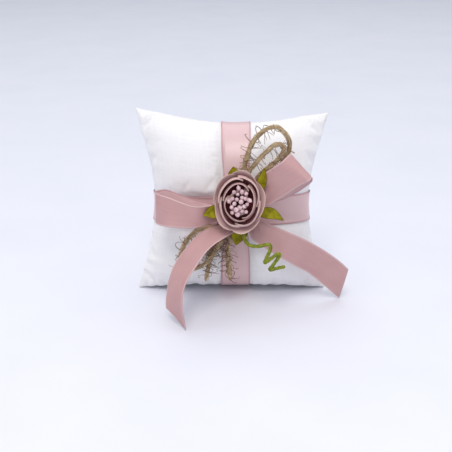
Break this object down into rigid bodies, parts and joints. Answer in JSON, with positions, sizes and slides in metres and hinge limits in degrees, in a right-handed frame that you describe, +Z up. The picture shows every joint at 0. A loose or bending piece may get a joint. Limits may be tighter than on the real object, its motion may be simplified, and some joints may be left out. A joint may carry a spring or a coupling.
{
  "type": "ring bearer pillow",
  "caption": "Small stuffed pillow wrapped in satin ribbon, with a bow, fabric rose, leaves, wire tendril and twine; it stands on its lower edge and leans back.",
  "frame": {"origin": "middle of the flattened underside that the pillow stands on, level with the surface under it", "axes": "+Z up, +X to the right across the pillow, and the front with the bow faces -Y"},
  "size_m": [0.11, 0.081, 0.0946],
  "materials": {
    "linen": "plain weave, matt",
    "stuffing": "loose polyester fibre",
    "thread": "spun sewing thread",
    "satin": "satin weave, soft gloss, woven edges",
    "petal_cloth": "stiffened cloth, cream at the edges",
    "dark_cloth": "stiffened cloth, burgundy",
    "leaf_cloth": "stiffened cloth, olive green",
    "bead": "pearly pale pink",
    "stamen_wire": "waxed thread",
    "glue": "hot-melt glue",
    "covered_wire": "wire in crepe paper",
    "twine": "hairy natural twine",
    "bare_wire": "fine drawn wire"
  },
  "bodies": {
    "root": {"cover_front": "linen", "cover_back": "linen", "filling": "stuffing", "seam_thread": "thread", "closing_stitches": "thread", "ribbon_wrap_vertical": "satin", "ribbon_wrap_horizontal": "satin", "bow_knot": "satin", "bow_loop_left": "satin", "bow_loop_right": "satin", "bow_tail_left": "satin", "bow_tail_right": "satin", "glue_pad": "glue", "stem_wire": "covered_wire", "rose_calyx": "leaf_cloth", "rose_core": "dark_cloth", "stamen_stems": "stamen_wire", "stamen_beads": "bead", "petal_inner_1": "petal_cloth", "petal_inner_2": "petal_cloth", "petal_inner_3": "petal_cloth", "petal_middle_1": "petal_cloth", "petal_middle_2": "petal_cloth", "petal_middle_3": "petal_cloth", "petal_middle_4": "petal_cloth", "petal_outer_1": "petal_cloth", "petal_outer_2": "petal_cloth", "petal_outer_3": "petal_cloth", "petal_outer_4": "petal_cloth", "petal_outer_5": "petal_cloth", "leaf_top_left": "leaf_cloth", "leaf_top_right": "leaf_cloth", "leaf_right": "leaf_cloth", "leaf_bottom": "leaf_cloth", "leaf_left": "leaf_cloth", "tendril": "covered_wire", "vine_loop_outer": "twine", "vine_loop_inner": "twine", "vine_loop_lower": "twine", "vine_end_short": "twine", "vine_end_long": "twine", "vine_binding_wire": "bare_wire"}
  },
  "joints": []
}
